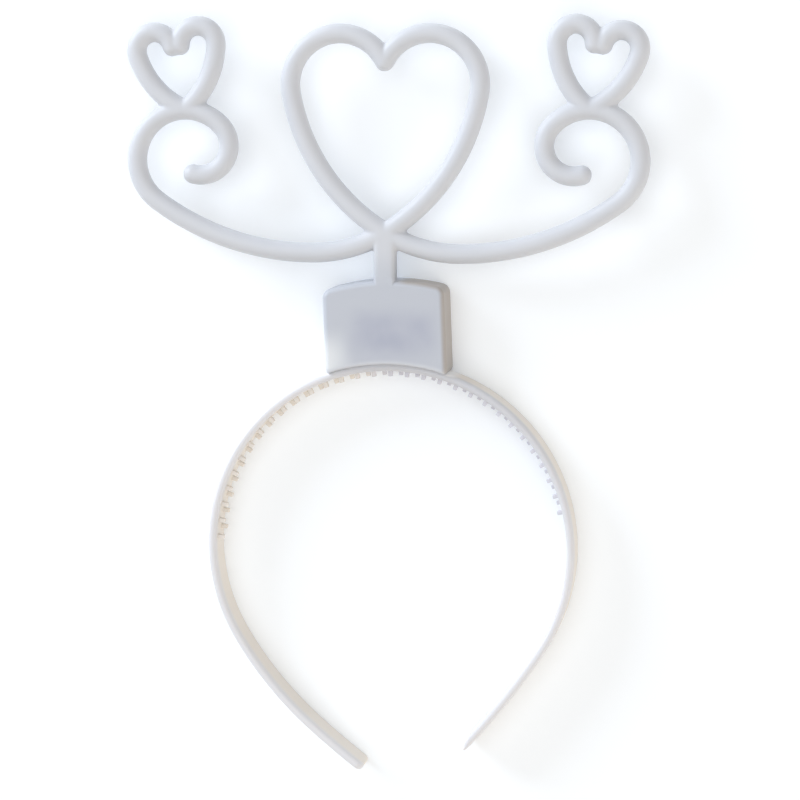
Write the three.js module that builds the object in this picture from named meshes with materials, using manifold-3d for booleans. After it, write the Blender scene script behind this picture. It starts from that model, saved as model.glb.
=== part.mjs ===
// Light-up headband: a moulded hairband with comb teeth, a battery case on its crown
// and a topper drawn in round tube that stands on a post.
//
// Millimetres. The headband lies on its back: +X is to the right of someone looking at its
// front, +Y runs from the hoop up to the topper and +Z comes out of the front.
// The pieces are drawn round the crown of the hoop, and the whole is then moved so that the
// origin is under the middle of its box.

import * as THREE from 'three';
import { mergeVertices } from 'three/addons/utils/BufferGeometryUtils.js';
import Module from 'manifold-3d';

const wasm = await Module();
wasm.setup();

// Driving dimensions

const FIT_GAP = 0.3;

const BAND = { width: 14, thickness: 2.7, edgeRound: 0.7 };

// Arcs of the hoop's middle line from the crown to each tip. A worn band keeps a slight skew,
// so the two legs bend a little differently.
const LEG_ARCS = {
  left: [
    { radius: 65.4, turn: 60 },
    { radius: 66.4, turn: 61 },
    { radius: 136, turn: 17.6 },
    { radius: 300, turn: 3.5 },
  ],
  right: [
    { radius: 65.4, turn: 60 },
    { radius: 66.4, turn: 63.5 },
    { radius: 286, turn: 8.2 },
  ],
};
const CROWN_RADIUS = LEG_ARCS.left[0].radius;
const HOOP_CENTRE = new THREE.Vector2(0, -CROWN_RADIUS);
const LEG_TIP = { length: 6, corner: 3.5, slimmer: 0.1 };

const TEETH = { pitch: 6.3, left: 16, right: 14, length: 2.2, width: 1.6, depth: 2.4, root: 0.5 };
const TOOTH_ROWS = [
  { z: 9.2, shift: 0 },
  { z: 4.4, shift: 0.5 },
];

// The case leans to the left with its saddle, and its middle is a little aside of the saddle's
const CASE_LEAN = 2;
const CASE = {
  width: 44, height: 29.6, depth: 16, aside: 1.5, topRadius: 78, corner: 3.5, innerCorner: 0.6, edge: 2,
  wall: 2.2,
};
const COVER = { thickness: 1.6, inset: 1.1 };
const SWITCH = {
  x: -8, slotWidth: 10, slotHeight: 4.6, knobWidth: 5, recess: 0.5, flange: 2, flangeThickness: 1,
};
const BATTERY = { width: 28, height: 13.4, depth: 8, x: 3, foot: 1.2, round: 1 };

const TUBE_RADIUS = 3.6;
const POST = {
  x: -1.1, width: 7.6, depth: 7.2, height: 14, round: 1.2, spigot: 4.6, plug: 3, socketGap: 0.5,
};

// The topper's lines. Each row is an arc with its radius and its turn in degrees, left turns
// positive. The right half is drawn from a tip and then mirrored. The big heart and the swag
// start at one tip over the post, and the small heart stands on the swag's scroll.
const TIP_ABOVE_POST = 2.5;
const HEART = {
  heading: 31,
  arcs: [
    { radius: 72, turn: 49 },
    { radius: 18, turn: 163.4 },
  ],
};
const SWAG = {
  heading: -31,
  arcs: [
    { radius: 52, turn: 31 },
    { radius: 96, turn: 36 },
    { radius: 18, turn: 190 },
    { radius: 10.5, turn: 150 },
  ],
};
const SMALL_HEART = {
  heading: 31,
  lean: -8,
  x: 72.6,
  y: 43.5,
  arcs: [
    { radius: 31, turn: 49 },
    { radius: 6.6, turn: 185 },
  ],
};

const TUBE_SIDES = 8;
const TUBE_STEP = 5;
const SMALL_STEP = 3.5;
const BAND_STEP = 6;
const ROUND_STEPS = 3;
const CURVE_STEPS = 8;
const WELD = 1e-4;

// Solids: a closed geometry becomes a solid that can be joined and cut

function solid(geometry) {
  const plain = geometry.index ? geometry.toNonIndexed() : geometry.clone();
  plain.deleteAttribute('normal');
  plain.deleteAttribute('uv');
  const merged = mergeVertices(plain, WELD);
  return new wasm.Manifold(new wasm.Mesh({
    numProp: 3,
    vertProperties: new Float32Array(merged.attributes.position.array),
    triVerts: new Uint32Array(merged.index.array),
  }));
}

function geometryOf(body) {
  const mesh = body.getMesh();
  const geometry = new THREE.BufferGeometry();
  geometry.setAttribute('position', new THREE.BufferAttribute(mesh.vertProperties, 3));
  geometry.setIndex(new THREE.BufferAttribute(mesh.triVerts, 1));
  geometry.computeVertexNormals();
  return geometry;
}

function joined(bodies) {
  return bodies.reduce((whole, body) => whole.add(body));
}

function block(width, height, depth, x, y, z) {
  return solid(new THREE.BoxGeometry(width, height, depth).translate(x, y, z));
}

// A flat outline pushed out from z = low to z = high
function slab(shape, low, high, segments) {
  const geometry = new THREE.ExtrudeGeometry(shape, {
    depth: high - low, bevelEnabled: false, curveSegments: segments,
  });
  return solid(geometry.translate(0, 0, low));
}

function roundedRectangle(width, height, radius) {
  const shape = new THREE.Shape();
  const [x, y] = [width / 2 - radius, height / 2 - radius];
  shape.absarc(x, y, radius, 0, Math.PI / 2);
  shape.absarc(-x, y, radius, Math.PI / 2, Math.PI);
  shape.absarc(-x, -y, radius, Math.PI, 1.5 * Math.PI);
  shape.absarc(x, -y, radius, 1.5 * Math.PI, 2 * Math.PI);
  return shape;
}

// Walks along a row of arcs and notes the place and heading at every step
function walk(start, headingDegrees, arcs, step) {
  const stops = [];
  let place = start.clone();
  let heading = THREE.MathUtils.degToRad(headingDegrees);
  for (const { radius, turn } of arcs) {
    const angle = THREE.MathUtils.degToRad(turn);
    const side = Math.sign(angle);
    const toCentre = new THREE.Vector2(-Math.sin(heading), Math.cos(heading)).multiplyScalar(side * radius);
    const centre = place.clone().add(toCentre);
    const count = Math.max(2, Math.ceil(radius * Math.abs(angle) / step));
    for (let k = stops.length ? 1 : 0; k <= count; k += 1) {
      const bend = angle * k / count;
      const spoke = toCentre.clone().negate().rotateAround(new THREE.Vector2(), bend);
      stops.push({ place: centre.clone().add(spoke), heading: heading + bend });
    }
    place = stops.at(-1).place;
    heading += angle;
  }
  return stops;
}

// Band

function legStops(side) {
  const arcs = LEG_ARCS[side].map(({ radius, turn }) => ({ radius, turn: -turn }));
  return walk(new THREE.Vector2(), 0, arcs, BAND_STEP);
}

// A point beside a stop of the right leg, or its mirror image on the left leg
function beside({ place, heading }, offset, mirror) {
  const x = place.x - Math.sin(heading) * offset;
  const y = place.y + Math.cos(heading) * offset;
  return new THREE.Vector2(x * mirror, y);
}

function bandOutline() {
  const half = BAND.thickness / 2;
  const left = legStops('left').slice(1);
  const right = legStops('right');
  const outer = [
    ...left.map((stop) => beside(stop, half, -1)).reverse(),
    ...right.map((stop) => beside(stop, half, 1)),
  ];
  const inner = [
    ...left.map((stop) => beside(stop, -half, -1)).reverse(),
    ...right.map((stop) => beside(stop, -half, 1)),
  ];
  return new THREE.Shape([...outer, ...inner.reverse()]);
}

// Place and heading at a distance above zero along a leg's middle line
function alongLeg(side, distance) {
  let left = distance;
  const arcs = [];
  for (const { radius, turn } of LEG_ARCS[side]) {
    const degrees = Math.min(turn, THREE.MathUtils.radToDeg(left / radius));
    arcs.push({ radius, turn: -degrees });
    left -= THREE.MathUtils.degToRad(degrees) * radius;
    if (left < WELD) break;
  }
  return walk(new THREE.Vector2(), 0, arcs, BAND_STEP).at(-1);
}

function tooth(distance, z) {
  const side = distance < 0 ? 'left' : 'right';
  const mirror = distance < 0 ? -1 : 1;
  const stop = alongLeg(side, Math.max(Math.abs(distance), WELD));
  const middle = -BAND.thickness / 2 + TEETH.root - (TEETH.length + TEETH.root) / 2;
  const place = beside(stop, middle, mirror);
  const box = new THREE.BoxGeometry(TEETH.width, TEETH.length + TEETH.root, TEETH.depth);
  return solid(box.rotateZ(stop.heading * mirror).translate(place.x, place.y, z));
}

// The rounded end of a leg, a plate a hair slimmer than the strip that it carries on
function legTip(side, mirror) {
  const stop = legStops(side).at(-1);
  const place = beside(stop, 0, mirror);
  const half = BAND.width / 2 - BAND.edgeRound - LEG_TIP.slimmer;
  const end = LEG_TIP.length - BAND.edgeRound;
  const shape = new THREE.Shape();
  shape.moveTo(0, -half);
  shape.lineTo(end - LEG_TIP.corner, -half);
  shape.quadraticCurveTo(end, -half, end, LEG_TIP.corner - half);
  shape.lineTo(end, half - LEG_TIP.corner);
  shape.quadraticCurveTo(end, half, end - LEG_TIP.corner, half);
  shape.lineTo(0, half);
  const core = BAND.thickness - 2 * BAND.edgeRound - 2 * LEG_TIP.slimmer;
  const plate = new THREE.ExtrudeGeometry(shape, {
    depth: core, bevelThickness: BAND.edgeRound, bevelSize: BAND.edgeRound, bevelSegments: 1,
    curveSegments: ROUND_STEPS,
  });
  const bearing = mirror > 0 ? stop.heading : Math.PI - stop.heading;
  plate.translate(0, 0, -core / 2).rotateX(Math.PI / 2).rotateZ(bearing);
  return solid(plate.translate(place.x, place.y, BAND.width / 2));
}

function band() {
  const strip = new THREE.ExtrudeGeometry(bandOutline(), {
    depth: BAND.width - 2 * BAND.edgeRound,
    bevelThickness: BAND.edgeRound,
    bevelSize: BAND.edgeRound,
    bevelOffset: -BAND.edgeRound,
    bevelSegments: 2,
  });
  const pieces = [solid(strip.translate(0, 0, BAND.edgeRound)), legTip('left', -1), legTip('right', 1)];
  for (const { z, shift } of TOOTH_ROWS) {
    for (let k = -TEETH.left; k <= TEETH.right - 2 * shift; k += 1) {
      pieces.push(tooth((k + shift) * TEETH.pitch, z));
    }
  }
  return joined(pieces);
}

// Case

const SADDLE_RADIUS = CROWN_RADIUS + BAND.thickness / 2 + FIT_GAP;
const CASE_FOOT = SADDLE_RADIUS - CROWN_RADIUS;
const CASE_TOP = CASE_FOOT + CASE.height;

// Outline of the case drawn in by a wall. Its foot is an arc about the hoop's centre, and its top
// is a rounder arc about a point under its own middle.
function caseOutline(inset) {
  const half = CASE.width / 2 - inset;
  const [left, right] = [CASE.aside - half, CASE.aside + half];
  const foot = SADDLE_RADIUS + inset;
  const top = CASE.topRadius - inset;
  const topCentre = CASE_TOP - CASE.topRadius;
  const corner = Math.max(CASE.corner - inset, CASE.innerCorner);
  const flat = half - corner;
  const topAngle = Math.asin(flat / top);
  const shoulder = topCentre + Math.sqrt(top * top - half * half);
  const cornerTop = topCentre + Math.sqrt(top * top - flat * flat);
  const footAngle = (x) => Math.acos(x / foot);
  const shape = new THREE.Shape();
  shape.absarc(HOOP_CENTRE.x, HOOP_CENTRE.y, foot, footAngle(left), footAngle(right), true);
  shape.lineTo(right, shoulder - corner);
  shape.quadraticCurveTo(right, shoulder, right - corner, cornerTop);
  shape.absarc(CASE.aside, topCentre, top, Math.PI / 2 - topAngle, Math.PI / 2 + topAngle, false);
  shape.quadraticCurveTo(left, shoulder, left, shoulder - corner);
  return shape;
}

const LEAN = THREE.MathUtils.degToRad(CASE_LEAN);
const SOCKET_X = new THREE.Vector2(POST.x, CASE_TOP).rotateAround(HOOP_CENTRE, -LEAN).x;
const COVER_SEAT = COVER.thickness + FIT_GAP;
const POST_Z = CASE.depth - POST.depth / 2;
const PLUG_Z = CASE.depth - CASE.wall - POST.socketGap - POST.spigot / 2;

function caseFront() {
  const outside = new THREE.ExtrudeGeometry(caseOutline(0), {
    depth: CASE.depth,
    bevelThickness: CASE.edge,
    bevelSize: CASE.edge,
    bevelOffset: -CASE.edge,
    bevelSegments: ROUND_STEPS,
    curveSegments: CURVE_STEPS,
  });
  const behind = block(2 * CASE.width, 4 * CASE.width, CASE.depth, 0, 0, -CASE.depth / 2);
  const hollow = slab(caseOutline(CASE.wall), -CASE.wall, CASE.depth - CASE.wall, CURVE_STEPS);
  const seat = slab(caseOutline(COVER.inset), -CASE.wall, COVER_SEAT, CURVE_STEPS);
  const socket = POST.spigot + 2 * POST.socketGap;
  const hole = block(socket, 4 * CASE.wall, socket, SOCKET_X, CASE_TOP, PLUG_Z);
  return solid(outside.translate(0, 0, -CASE.edge))
    .subtract(behind).subtract(hollow).subtract(seat).subtract(hole);
}

const COVER_MIDDLE = CASE_FOOT + CASE.height / 2;
const SLOT_X = CASE.aside + SWITCH.x;

function caseBack() {
  const plate = slab(caseOutline(COVER.inset + FIT_GAP), 0, COVER.thickness, CURVE_STEPS);
  const slot = block(SWITCH.slotWidth, SWITCH.slotHeight, 4 * COVER.thickness, SLOT_X, COVER_MIDDLE, 0);
  return plate.subtract(slot);
}

function switchSlider() {
  const knobDepth = COVER_SEAT - SWITCH.recess + SWITCH.flangeThickness;
  const knob = block(
    SWITCH.knobWidth, SWITCH.slotHeight - 2 * FIT_GAP, knobDepth,
    SLOT_X - (SWITCH.slotWidth - SWITCH.knobWidth) / 2 + FIT_GAP, COVER_MIDDLE,
    SWITCH.recess + knobDepth / 2,
  );
  const flange = block(
    SWITCH.slotWidth + 2 * SWITCH.flange, SWITCH.slotHeight + 2 * SWITCH.flange, SWITCH.flangeThickness,
    SLOT_X, COVER_MIDDLE, COVER_SEAT + SWITCH.flangeThickness / 2,
  );
  return knob.add(flange);
}

function batteryPack() {
  const shape = roundedRectangle(BATTERY.width, BATTERY.height, BATTERY.round);
  const front = CASE.depth - CASE.wall - FIT_GAP;
  const lift = CASE_FOOT + CASE.wall + BATTERY.foot + BATTERY.height / 2;
  return slab(shape, front - BATTERY.depth, front, ROUND_STEPS).translate(CASE.aside + BATTERY.x, lift, 0);
}

// Topper

const TUBE_Z = CASE.depth - TUBE_RADIUS;
const POST_FOOT = CASE_TOP + 1.5 * FIT_GAP;
const TIP = new THREE.Vector2(POST.x, POST_FOOT + POST.height + TIP_ABOVE_POST);

function circle(radius) {
  const points = [];
  for (let k = 0; k < TUBE_SIDES; k += 1) {
    const angle = 2 * Math.PI * k / TUBE_SIDES;
    points.push(new THREE.Vector2(radius * Math.cos(angle), radius * Math.sin(angle)));
  }
  return new THREE.Shape(points);
}

// A round tube with ball ends through a row of places in the topper's plane
function tube(places) {
  const points = places.map(({ x, y }) => new THREE.Vector3(x, y, TUBE_Z));
  const path = new THREE.CatmullRomCurve3(points);
  const sweep = new THREE.ExtrudeGeometry(circle(TUBE_RADIUS), {
    steps: points.length - 1, extrudePath: path, bevelEnabled: false,
  });
  const balls = [points[0], points.at(-1)].map(({ x, y, z }) => {
    const ball = new THREE.SphereGeometry(TUBE_RADIUS, TUBE_SIDES, TUBE_SIDES / 2);
    return solid(ball.rotateX(Math.PI / 2).translate(x, y, z));
  });
  return joined([solid(sweep), ...balls]);
}

function line({ heading, arcs }, step) {
  return walk(new THREE.Vector2(), heading, arcs, step).map(({ place }) => place);
}

function mirrored(places) {
  return places.map(({ x, y }) => new THREE.Vector2(-x, y));
}

// Both halves of the small heart, leaning outwards on the scroll
function smallHeart() {
  const seat = new THREE.Vector2(SMALL_HEART.x, SMALL_HEART.y);
  const lean = THREE.MathUtils.degToRad(SMALL_HEART.lean);
  const half = line(SMALL_HEART, SMALL_STEP);
  return [half, mirrored(half)].map((places) => (
    places.map((place) => place.clone().rotateAround(new THREE.Vector2(), lean).add(seat))
  ));
}

function topperLines() {
  const half = [line(HEART, TUBE_STEP), line(SWAG, TUBE_STEP), ...smallHeart()];
  return [...half, ...half.map(mirrored)].map((places) => places.map((place) => place.clone().add(TIP)));
}

function post() {
  const section = roundedRectangle(POST.width, POST.depth, POST.round);
  const shaft = new THREE.ExtrudeGeometry(section, {
    depth: TIP.y - POST_FOOT, bevelEnabled: false, curveSegments: ROUND_STEPS,
  });
  shaft.rotateX(-Math.PI / 2).translate(POST.x, POST_FOOT, POST_Z);
  const plugLength = FIT_GAP + CASE.wall + POST.plug;
  const plugMiddle = POST_FOOT - (plugLength - POST.plug) / 2;
  const plug = block(POST.spigot, plugLength + POST.plug, POST.spigot, POST.x, plugMiddle, PLUG_Z);
  return solid(shaft).add(plug);
}

function topper() {
  return joined([...topperLines().map(tube), post()]);
}

// Assembly

const milkyPlastic = { color: 0xe9eef6, roughness: 0.38, metalness: 0 };
const whitePlastic = { color: 0xeeece6, roughness: 0.42, metalness: 0 };

const PIECES = [
  { name: 'band', body: band, look: whitePlastic },
  { name: 'topper', body: topper, look: milkyPlastic },
];
const CASE_PIECES = [
  { name: 'case_front', body: caseFront, look: milkyPlastic },
  { name: 'case_back', body: caseBack, look: milkyPlastic },
  { name: 'switch', body: switchSlider, look: { color: 0xf4f4f2, roughness: 0.45, metalness: 0 } },
  { name: 'battery_pack', body: batteryPack, look: { color: 0x7d8796, roughness: 0.5, metalness: 0 } },
];

function mesh({ name, body, look }) {
  const made = new THREE.Mesh(geometryOf(body()), new THREE.MeshStandardMaterial(look));
  made.name = name;
  return made;
}

// The case is drawn upright and turns about the hoop's centre
const upright = new THREE.Group();
upright.add(...CASE_PIECES.map(mesh));
upright.position.set(-HOOP_CENTRE.x, -HOOP_CENTRE.y, 0);

const leaning = new THREE.Group();
leaning.add(upright);
leaning.position.set(HOOP_CENTRE.x, HOOP_CENTRE.y, 0);
leaning.rotation.z = LEAN;

const headband = new THREE.Group();
headband.add(...PIECES.map(mesh), leaning);

const extent = new THREE.Box3().setFromObject(headband);
const middle = extent.getCenter(new THREE.Vector3());
headband.position.set(-middle.x, -middle.y, -extent.min.z);

export default headband;
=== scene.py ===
# %% [markdown]
# # A light-up headband in moulded plastic
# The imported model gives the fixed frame: a hoop with comb teeth, a battery case on its crown and a
# topper of round tube on a post. This lesson models each piece again with smooth surfaces, in the
# place that the frame gives it, and gives each one the plastic that it is moulded in. The headband
# lies on its back, so +Z comes out of its front and +Y runs from the hoop up to the topper.

# %% Load the frame
import math

import bmesh
import bpy
from mathutils import Matrix, Vector


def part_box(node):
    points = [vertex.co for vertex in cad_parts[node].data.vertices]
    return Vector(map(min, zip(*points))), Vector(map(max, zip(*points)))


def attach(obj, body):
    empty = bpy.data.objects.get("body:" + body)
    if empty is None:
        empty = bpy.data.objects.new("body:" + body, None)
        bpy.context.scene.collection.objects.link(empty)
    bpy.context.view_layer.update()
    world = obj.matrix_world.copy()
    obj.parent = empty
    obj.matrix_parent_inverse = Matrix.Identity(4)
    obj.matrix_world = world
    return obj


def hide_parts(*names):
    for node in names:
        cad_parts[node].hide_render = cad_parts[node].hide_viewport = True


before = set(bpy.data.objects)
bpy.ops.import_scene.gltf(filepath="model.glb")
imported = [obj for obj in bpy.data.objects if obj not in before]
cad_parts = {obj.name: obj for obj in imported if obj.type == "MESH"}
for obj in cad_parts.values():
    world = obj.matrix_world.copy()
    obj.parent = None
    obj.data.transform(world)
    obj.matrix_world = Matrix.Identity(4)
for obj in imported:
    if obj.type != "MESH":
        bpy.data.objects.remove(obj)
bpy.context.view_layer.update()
MM = 0.001
print("frame:", sorted(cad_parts))

# %% [markdown]
# ## The sizes that every piece shares
# The hoop's crown is where the case sits, so places are measured from it. The frame gives the
# corners of each node: the crown is half a wall below the top of the band, and a little to the right
# of the post. The hoop is a row of arcs on each side, each with a radius and a turn, and so is the
# topper's line. The case leans two degrees to the left about the hoop's centre, as a case does that
# has slid along its band, so it is modelled upright and then turned.

# %% Hoop sizes
BAND_WIDTH = 14 * MM
BAND_WALL = 2.7 * MM
# Each arc of a leg is a radius in millimetres and a turn in degrees.
LEG_ARCS = {
    "right": [(65.4, 60), (66.4, 63.5), (286, 8.2)],
    "left": [(65.4, 60), (66.4, 61), (136, 17.6), (300, 3.5)],
}
CROWN_RADIUS = LEG_ARCS["right"][0][0] * MM
FIT_GAP = 0.3 * MM
CROWN_FROM_POST = 1.1 * MM
band_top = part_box("band")[1].y
topper_low, topper_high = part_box("topper")
POST_X = (topper_low.x + topper_high.x) / 2
CROWN = Vector((POST_X + CROWN_FROM_POST, band_top - BAND_WALL / 2, 0))
HOOP_CENTRE = CROWN - Vector((0, CROWN_RADIUS, 0))
print("crown at", [round(c / MM, 1) for c in CROWN], "mm")

# %% Case sizes
CASE_HALF, CASE_HEIGHT, CASE_DEPTH = 22 * MM, 29.6 * MM, 16 * MM
CASE_FROM_CROWN = 1.5 * MM
CASE_X = CROWN.x + CASE_FROM_CROWN
CASE_FOOT = CROWN.y + BAND_WALL / 2 + FIT_GAP
CASE_TOP = CASE_FOOT + CASE_HEIGHT
CASE_TOP_RADIUS = 78 * MM
TOP_CORNER = 2.6 * MM
SADDLE_RADIUS = CASE_FOOT - HOOP_CENTRE.y
LEAN_ANGLE = math.radians(2)
about_hoop = Matrix.Translation(HOOP_CENTRE)
CASE_LEAN = about_hoop @ Matrix.Rotation(LEAN_ANGLE, 4, "Z") @ about_hoop.inverted()
print("case top at", round(CASE_TOP / MM, 1), "mm")

# %% [markdown]
# ## The camera
# The photograph looks at the front from a little to the right and from a little above the crown.
# A long lens keeps the hoop nearly free of perspective. The lens is worked out from the photo's
# width in pixels, and the camera's three axes are set straight into its matrix, because the
# headband lies down here and a tracking constraint would not know which way is up.

# %% Camera
PHOTO_PIXELS = 800
FOCAL_PIXELS = 2777
SENSOR = 36.0
AZIMUTH, ELEVATION, ROLL = math.radians(10), math.radians(7), math.radians(-0.2)
CAMERA_DISTANCE = 1.0
AIM = CROWN + Vector((3.0 * MM, -12.4 * MM, BAND_WIDTH / 2))


def place_camera():
    """A camera whose back points out of the headband's front, turned by the three angles."""
    back = Vector((
        math.sin(AZIMUTH) * math.cos(ELEVATION),
        math.sin(ELEVATION),
        math.cos(AZIMUTH) * math.cos(ELEVATION),
    ))
    level = Vector((math.cos(AZIMUTH), 0, -math.sin(AZIMUTH)))
    upright = back.cross(level)
    right = level * math.cos(ROLL) + upright * math.sin(ROLL)
    up = upright * math.cos(ROLL) - level * math.sin(ROLL)
    lens = bpy.data.cameras.new("photo_camera")
    lens.sensor_width = SENSOR
    lens.lens = FOCAL_PIXELS * SENSOR / PHOTO_PIXELS
    camera = bpy.data.objects.new("photo_camera", lens)
    bpy.context.scene.collection.objects.link(camera)
    turn = Matrix((right, up, back)).transposed().to_4x4()
    camera.matrix_world = Matrix.Translation(AIM + back * CAMERA_DISTANCE) @ turn
    bpy.context.scene.camera = camera
    return camera


camera = place_camera()
print("lens", round(camera.data.lens, 1), "mm")

# %% [markdown]
# ## Nodes and colours
# Every material is a small tree of nodes. One function adds a node, sets its values and links its
# inputs, and one turns a hex colour as seen on screen into the linear numbers that Blender mixes.
# A tone that belongs to one region needs a mask with soft edges. The region is described by a few
# rises, each along one measure such as a height, and the mask is their product.

# %% Helpers for materials
# A Mix node has a pair of inputs for each kind of data, and these are the ones for colours.
MIX_FIRST, MIX_SECOND, MIX_RESULT = 6, 7, 2


def linear(hex_colour):
    """An sRGB hex colour as linear red, green, blue and alpha."""
    values = [int(hex_colour[k:k + 2], 16) / 255 for k in (1, 3, 5)]
    return [v / 12.92 if v <= 0.04045 else ((v + 0.055) / 1.055) ** 2.4 for v in values] + [1.0]


def add(tree, kind, links=None, values=None, **settings):
    """One node with its settings, its inputs' values and the sockets that feed its inputs."""
    node = tree.nodes.new(kind)
    for name, value in settings.items():
        setattr(node, name, value)
    for name, value in (values or {}).items():
        node.inputs[name].default_value = value
    for name, socket in (links or {}).items():
        tree.links.new(socket, node.inputs[name])
    return node


def soft_mask(tree, rises):
    """A mask from rises of a measure, its start and where it is full: one where all are full."""
    mask = None
    for measure, start, full in rises:
        rise = add(
            tree, "ShaderNodeMapRange", {"Value": measure}, {"From Min": start, "From Max": full},
            interpolation_type="SMOOTHSTEP",
        ).outputs["Result"]
        if mask is None:
            mask = rise
        else:
            mask = add(tree, "ShaderNodeMath", {0: mask, 1: rise}, operation="MULTIPLY").outputs[0]
    return mask


def new_material(name):
    """An empty node material, and the place of the surface in object space."""
    material = bpy.data.materials.new(name)
    material.use_nodes = True
    tree = material.node_tree
    tree.nodes.clear()
    place = add(tree, "ShaderNodeTexCoord").outputs["Object"]
    return material, tree, place


print("mid grey on screen is", round(linear("#808080")[0], 3), "in linear light")

# %% [markdown]
# ## The plastics
# The tube is moulded in a milky polypropylene, a little blue, that lets light sink in before it
# comes back, so its shading is soft. The skin copies a fine-blasted mould, so it has a satin gloss
# and a slight unevenness. The two halves of the mould meet at the middle of the tube and leave a
# thin raised line there. The mould's grain is finer than a pixel, so it is drawn coarser to show.
# At the foot of the post the tube takes on the case's greyer tone, and less light sinks in on both
# sides of the joint, so the post runs into the case without a line.

# %% Moulded skin
PLASTIC_IOR = 1.49
GRAIN = 1.1 * MM
CLOUD = 16 * MM
SKIN_DEPTH = 0.02 * MM
SKIN_STRENGTH = 0.35
# Most of a noise texture's values lie between these two.
NOISE_LOW, NOISE_HIGH = 0.3, 0.7
SATIN = (0.44, 0.54)


def plastic_skin(tree, place, roughness):
    """The cloud, the roughness and the bump of a moulded skin: fine grain and broad uneven gloss."""
    cloud = add(tree, "ShaderNodeTexNoise", {"Vector": place}, {"Scale": 1 / CLOUD, "Detail": 3.0})
    gloss = add(
        tree, "ShaderNodeMapRange", {"Value": cloud.outputs["Fac"]},
        {"From Min": NOISE_LOW, "From Max": NOISE_HIGH, "To Min": roughness[0], "To Max": roughness[1]},
    )
    grain = add(tree, "ShaderNodeTexNoise", {"Vector": place}, {"Scale": 1 / GRAIN, "Detail": 2.0})
    bump = add(
        tree, "ShaderNodeBump", {"Height": grain.outputs["Fac"]},
        {"Strength": SKIN_STRENGTH, "Distance": SKIN_DEPTH},
    )
    return cloud.outputs["Fac"], gloss.outputs["Result"], bump.outputs["Normal"]


print("skin grain drawn", round(GRAIN / MM, 1), "mm wide")

# %% Milky polypropylene
TUBE_RADIUS = 3.55 * MM
TUBE_Z = CASE_DEPTH - TUBE_RADIUS
TUBE_TONES = ("#cacdd3", "#d0d2d7")
CASE_COLOUR = "#bec2ca"
NECK_TOP = CASE_TOP + 1.2 * MM
POST_FADE = 11 * MM
TUBE_SINK, TUBE_SINK_DEPTH = 0.55, 2.5 * MM
EVEN_SINK = (1.0, 1.0, 1.0)
MOULD_LINE, MOULD_LINE_HEIGHT = 0.35 * MM, 0.12 * MM
MOULD_LINE_STRENGTH = 0.6


def mould_line(tree, height, skin):
    """The skin with a thin raised line along the middle of the tube, where the mould parts."""
    away = add(tree, "ShaderNodeMath", {0: height}, {1: TUBE_Z}, operation="SUBTRACT")
    off = add(tree, "ShaderNodeMath", {0: away.outputs[0]}, operation="ABSOLUTE")
    ridge = soft_mask(tree, [(off.outputs[0], MOULD_LINE, 0.0)])
    line = add(
        tree, "ShaderNodeBump", {"Height": ridge, "Normal": skin},
        {"Strength": MOULD_LINE_STRENGTH, "Distance": MOULD_LINE_HEIGHT},
    )
    return line.outputs["Normal"]


def milky_tube_plastic():
    """Milky polypropylene: soft blue-white, light sinks in, satin skin, raised mould line."""
    material, tree, place = new_material("milky_polypropylene")
    cloud, gloss, skin = plastic_skin(tree, place, SATIN)
    axes = add(tree, "ShaderNodeSeparateXYZ", {"Vector": place})
    along = axes.outputs["Y"]
    tones = {MIX_FIRST: linear(TUBE_TONES[0]), MIX_SECOND: linear(TUBE_TONES[1])}
    tube = add(tree, "ShaderNodeMix", {"Factor": cloud}, tones, data_type="RGBA")
    near_case = soft_mask(tree, [(along, NECK_TOP + POST_FADE, NECK_TOP)])
    colour = add(
        tree, "ShaderNodeMix", {"Factor": near_case, MIX_FIRST: tube.outputs[MIX_RESULT]},
        {MIX_SECOND: linear(CASE_COLOUR)}, data_type="RGBA",
    )
    above_case = soft_mask(tree, [(along, NECK_TOP, NECK_TOP + POST_FADE)])
    sink = add(tree, "ShaderNodeMath", {0: above_case}, {1: TUBE_SINK}, operation="MULTIPLY")
    surface = add(
        tree, "ShaderNodeBsdfPrincipled",
        {"Base Color": colour.outputs[MIX_RESULT], "Roughness": gloss,
         "Normal": mould_line(tree, axes.outputs["Z"], skin), "Subsurface Weight": sink.outputs[0]},
        {"IOR": PLASTIC_IOR, "Subsurface Radius": EVEN_SINK, "Subsurface Scale": TUBE_SINK_DEPTH},
    )
    add(tree, "ShaderNodeOutputMaterial", {"Surface": surface.outputs["BSDF"]})
    return material


milky_tube = milky_tube_plastic()
print("made", milky_tube.name)

# %% [markdown]
# The case is the same plastic in a thin wall. The battery pack shows through its front as a vague
# blue-grey shade with no edge, and painted light makes the corner low down beside it paler. Both are
# soft-edged boxes in object space, and a slow noise breaks up the shade. The rims on the side away
# from the window carry a painted shade of warmer grey, and a painted light makes the end of the
# wall at the foot a little paler.

# %% Regions of the case
RIM_FADE = 1.8 * MM
CASE_ACROSS = CASE_LEAN.to_3x3() @ Vector((1, 0, 0))
CASE_SIDE = CASE_X + CASE_HALF - HOOP_CENTRE.x
TOP_CENTRE = CASE_LEAN @ Vector((CASE_X, CASE_TOP - CASE_TOP_RADIUS, 0))
BEND = (CASE_SIDE - TOP_CORNER, CASE_TOP_RADIUS - TOP_CORNER, 0)
FAR_SHADE_START, FAR_SHADE_FULL = 5 * MM, 11 * MM
FRONT_VIEW = (1, 1, 0)


def box_rises(axes, low, high, edge):
    """The four rises that make a box with soft sides, seen from the front."""
    rises = []
    for axis, first, last in zip("XY", low, high):
        measure = axes.outputs[axis]
        rises += [(measure, first - edge, first + edge), (measure, last + edge, last - edge)]
    return rises


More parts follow.
